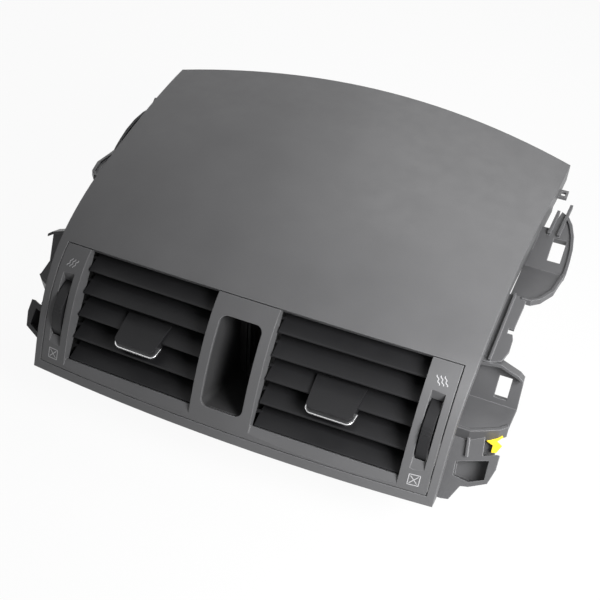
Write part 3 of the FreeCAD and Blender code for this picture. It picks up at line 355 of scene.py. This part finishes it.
def face_place(x, z, u, v):
    """A place on the face given across and up the face from a middle point."""
    low = on_face(x, z - PRINT_PROBE)[0]
    high = on_face(x, z + PRINT_PROBE)[0]
    rise = (high - low).normalized().z
    point, normal = on_face(x + u, z + v * rise)
    return point + normal * PRINT_LIFT


def stroke(mesh, x, z, points, width):
    """A flat line of ink through (u, v) points."""
    rows = []
    for i, (u, v) in enumerate(points):
        before = points[max(i - 1, 0)]
        after = points[min(i + 1, len(points) - 1)]
        run = Vector((after[0] - before[0], after[1] - before[1])).normalized()
        side = Vector((-run.y, run.x)) * (width / 2)
        left = mesh.verts.new(face_place(x, z, u + side.x, v + side.y))
        right = mesh.verts.new(face_place(x, z, u - side.x, v - side.y))
        rows.append((left, right))
    for (a, b), (c, d) in zip(rows, rows[1:]):
        mesh.faces.new((a, b, d, c))


def dense(start, end, count=8):
    """Points along a straight line, so that its stroke follows the curved face."""
    return [
        (start[0] + (end[0] - start[0]) * i / count, start[1] + (end[1] - start[1]) * i / count)
        for i in range(count + 1)
    ]


def finish_piece(name, mesh, material, body):
    """Makes a piece of a mesh and lets it ride on a body."""
    bmesh.ops.recalc_face_normals(mesh, faces=mesh.faces)
    data = bpy.data.meshes.new(name)
    mesh.to_mesh(data)
    mesh.free()
    data.materials.append(material)
    piece = bpy.data.objects.new(name, data)
    bpy.context.scene.collection.objects.link(piece)
    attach(piece, body)


def airflow_print(side):
    """Three wavy lines."""
    mesh = bmesh.new()
    for k in range(WAVE_COUNT):
        middle = (k - (WAVE_COUNT - 1) / 2) * WAVE_SPACING
        points = []
        for i in range(WAVE_STEPS + 1):
            share = i / WAVE_STEPS - 0.5
            wave = WAVE_HEIGHT * math.sin(share * WAVE_TURNS * 2 * math.pi)
            u = middle - share * WAVE_LENGTH * WAVE_LEAN + wave
            points.append((u * side, share * WAVE_LENGTH))
        stroke(mesh, PRINT_MIDDLE * side, PRINT_TOP, points, PRINT_STROKE)
    return mesh


def closed_print(side):
    """A square with a cross in it."""
    mesh = bmesh.new()
    half = BOX_SIDE / 2
    corners = [(-half, -half), (half, -half), (half, half), (-half, half)]
    for start, end in zip(corners, corners[1:] + corners[:1]):
        stroke(mesh, PRINT_MIDDLE * side, PRINT_LOW, dense(start, end), PRINT_STROKE)
    inset = half * CROSS_SHARE
    for start, end in (((-inset, -inset), (inset, inset)), ((-inset, inset), (inset, -inset))):
        stroke(mesh, PRINT_MIDDLE * side, PRINT_LOW, dense(start, end), PRINT_STROKE)
    return mesh


# Grip bars on the wheels
def grip_bars(node):
    """Low rounded bars across the front of a thumbwheel's rim."""
    low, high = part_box(node)
    centre_y = (low[1] + high[1]) / 2
    centre_z = (low[2] + high[2]) / 2
    radius = (high[1] - low[1]) / 2
    outer = high[0] if high[0] > 0 else low[0]
    inward = -1.0 if outer > 0 else 1.0
    middle_x = outer + inward * GRIP_INSET
    mesh = bmesh.new()
    for k in range(GRIP_COUNT):
        angle = math.radians(FACE_TILT) + (k - (GRIP_COUNT - 1) / 2) * GRIP_PITCH / radius
        rows = []
        for i in range(GRIP_STEPS + 1):
            share = i / GRIP_STEPS * 2 - 1
            turn = angle + share * GRIP_HALF_LENGTH / radius
            lift = GRIP_HEIGHT * math.sqrt(max(0.0, 1 - share * share)) - GRIP_SINK
            row = []
            for end in (-1, -GRIP_FLAT_SHARE, GRIP_FLAT_SHARE, 1):
                rise = lift if abs(end) < 1 else -GRIP_SINK
                reach = radius + rise
                y = centre_y - reach * math.cos(turn)
                z = centre_z + reach * math.sin(turn)
                row.append(mesh.verts.new((middle_x + end * GRIP_WIDTH / 2, y, z)))
            rows.append(row)
        for row_a, row_b in zip(rows, rows[1:]):
            for i in range(3):
                mesh.faces.new((row_a[i], row_a[i + 1], row_b[i + 1], row_b[i]))
    return mesh


# Painted shade: a dark strip behind the seams beside the bezel
def seam_shade_strip(side):
    """A dark strip on the hood's back that closes the seam between the hood and the bezel's edge:
    painted shade, standing in for the shade deep in the seam.
    """
    low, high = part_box("vent_bezel")
    seam = high[0] - HOOK_REACH
    inward = Vector((0.0, math.cos(math.radians(FACE_TILT)), -math.sin(math.radians(FACE_TILT))))
    section = (
        (SEAM_STRIP_INSET, 0.0),
        (SEAM_STRIP_WIDTH, 0.0),
        (SEAM_STRIP_WIDTH, SEAM_STRIP_THICKNESS),
        (SEAM_STRIP_INSET, SEAM_STRIP_THICKNESS),
    )
    mesh = bmesh.new()
    rows = []
    for i in range(SEAM_STEPS + 1):
        z = low[2] + (high[2] - low[2]) * i / SEAM_STEPS
        start = Vector(((seam + SEAM_PROBE) * side, PANEL_RAY_START, z))
        over = panel_tree.ray_cast(start, REARWARD)[0]
        if over is None:
            continue
        back = panel_tree.ray_cast(over + inward * SEAM_SKIP, inward)[0]
        if back is None or (back - over).length > SEAM_WALL:
            continue
        row = []
        for x, depth in section:
            at = back + inward * (SEAM_STRIP_GAP + depth)
            row.append(mesh.verts.new(((seam + x) * side, at.y, at.z)))
        rows.append(row)
    for row_a, row_b in zip(rows, rows[1:]):
        for k in range(4):
            after = (k + 1) % 4
            mesh.faces.new((row_a[k], row_a[after], row_b[after], row_b[k]))
    mesh.faces.new(rows[0])
    mesh.faces.new(list(reversed(rows[-1])))
    return mesh


for side, end in ((1, "right"), (-1, "left")):
    finish_piece(f"seam_shade_strip_{end}", seam_shade_strip(side), SEAM_SHADE, "frame")
    finish_piece(f"airflow_print_{end}", airflow_print(side), INK, "frame")
    finish_piece(f"closed_print_{end}", closed_print(side), INK, "frame")
    wheel = f"thumbwheel_{end}"
    finish_piece(f"grip_bars_{end}", grip_bars(wheel), BLACK, wheel)
bezel_mesh.free()
panel_mesh.free()


# Studio
def area_light(name, place_at, target, size, energy, spread_angle=180.0):
    data = bpy.data.lights.new(name, "AREA")
    data.shape = "SQUARE"
    data.size = size
    data.energy = energy
    data.spread = math.radians(spread_angle)
    light = bpy.data.objects.new(name, data)
    light.location = place_at
    direction = Vector(target) - Vector(place_at)
    light.rotation_euler = direction.to_track_quat("-Z", "Y").to_euler()
    bpy.context.scene.collection.objects.link(light)


def seen_directly(tree):
    """1 for the rays that show the background: straight, mirrored and through glass."""
    path = tree.nodes.new("ShaderNodeLightPath")
    first = tree.nodes.new("ShaderNodeMath")
    first.operation = "MAXIMUM"
    tree.links.new(path.outputs["Is Camera Ray"], first.inputs[0])
    tree.links.new(path.outputs["Is Glossy Ray"], first.inputs[1])
    both = tree.nodes.new("ShaderNodeMath")
    both.operation = "MAXIMUM"
    tree.links.new(first.outputs["Value"], both.inputs[0])
    tree.links.new(path.outputs["Is Transmission Ray"], both.inputs[1])
    return both.outputs["Value"]


def studio_floor():
    """A pale floor that takes the part's shadow and looks near white."""
    mesh = bmesh.new()
    bmesh.ops.create_grid(mesh, x_segments=8, y_segments=8, size=FLOOR_HALF)
    data = bpy.data.meshes.new("studio_floor")
    mesh.to_mesh(data)
    mesh.free()
    floor = bpy.data.objects.new("studio_floor", data)
    bpy.context.scene.collection.objects.link(floor)
    material, tree, shader = new_material("studio_floor", FLOOR_COLOUR, 0.9)
    glow = tree.nodes.new("ShaderNodeEmission")
    glow.inputs["Color"].default_value = (1.0, 1.0, 1.0, 1.0)
    glow.inputs["Strength"].default_value = 1.0
    mix = tree.nodes.new("ShaderNodeMixShader")
    part = tree.nodes.new("ShaderNodeMath")
    part.operation = "MULTIPLY"
    part.inputs[1].default_value = FLOOR_WHITE
    tree.links.new(seen_directly(tree), part.inputs[0])
    tree.links.new(part.outputs["Value"], mix.inputs["Fac"])
    tree.links.new(shader.outputs["BSDF"], mix.inputs[1])
    tree.links.new(glow.outputs["Emission"], mix.inputs[2])
    tree.links.new(mix.outputs["Shader"], tree.nodes["Material Output"].inputs["Surface"])
    data.materials.append(material)


def studio_world():
    """A dim even light all round, with a white background to look at."""
    world = bpy.data.worlds.new("studio")
    world.use_nodes = True
    bpy.context.scene.world = world
    tree = world.node_tree
    light = tree.nodes["Background"]
    light.inputs["Color"].default_value = (1.0, 1.0, 1.0, 1.0)
    light.inputs["Strength"].default_value = WORLD_LEVEL
    shown = tree.nodes.new("ShaderNodeBackground")
    shown.inputs["Color"].default_value = (1.0, 1.0, 1.0, 1.0)
    shown.inputs["Strength"].default_value = 1.0
    mix = tree.nodes.new("ShaderNodeMixShader")
    tree.links.new(seen_directly(tree), mix.inputs["Fac"])
    tree.links.new(light.outputs["Background"], mix.inputs[1])
    tree.links.new(shown.outputs["Background"], mix.inputs[2])
    tree.links.new(mix.outputs["Shader"], tree.nodes["World Output"].inputs["Surface"])


def camera():
    data = bpy.data.cameras.new("camera")
    data.lens = CAMERA_LENS
    data.sensor_width = SENSOR_WIDTH
    view = bpy.data.objects.new("camera", data)
    view.location = CAMERA_PLACE
    look = (Vector(CAMERA_TARGET) - Vector(CAMERA_PLACE)).to_track_quat("-Z", "Y")
    roll = Quaternion((0.0, 0.0, 1.0), math.radians(CAMERA_ROLL))
    view.rotation_euler = (look @ roll).to_euler()
    bpy.context.scene.collection.objects.link(view)
    bpy.context.scene.camera = view


studio_floor()
studio_world()
area_light("key", KEY_PLACE, KEY_TARGET, KEY_SIZE, KEY_POWER, KEY_SPREAD)
area_light("top", TOP_PLACE, TOP_TARGET, TOP_SIZE, TOP_POWER)
camera()
bpy.context.scene.view_settings.view_transform = "Standard"
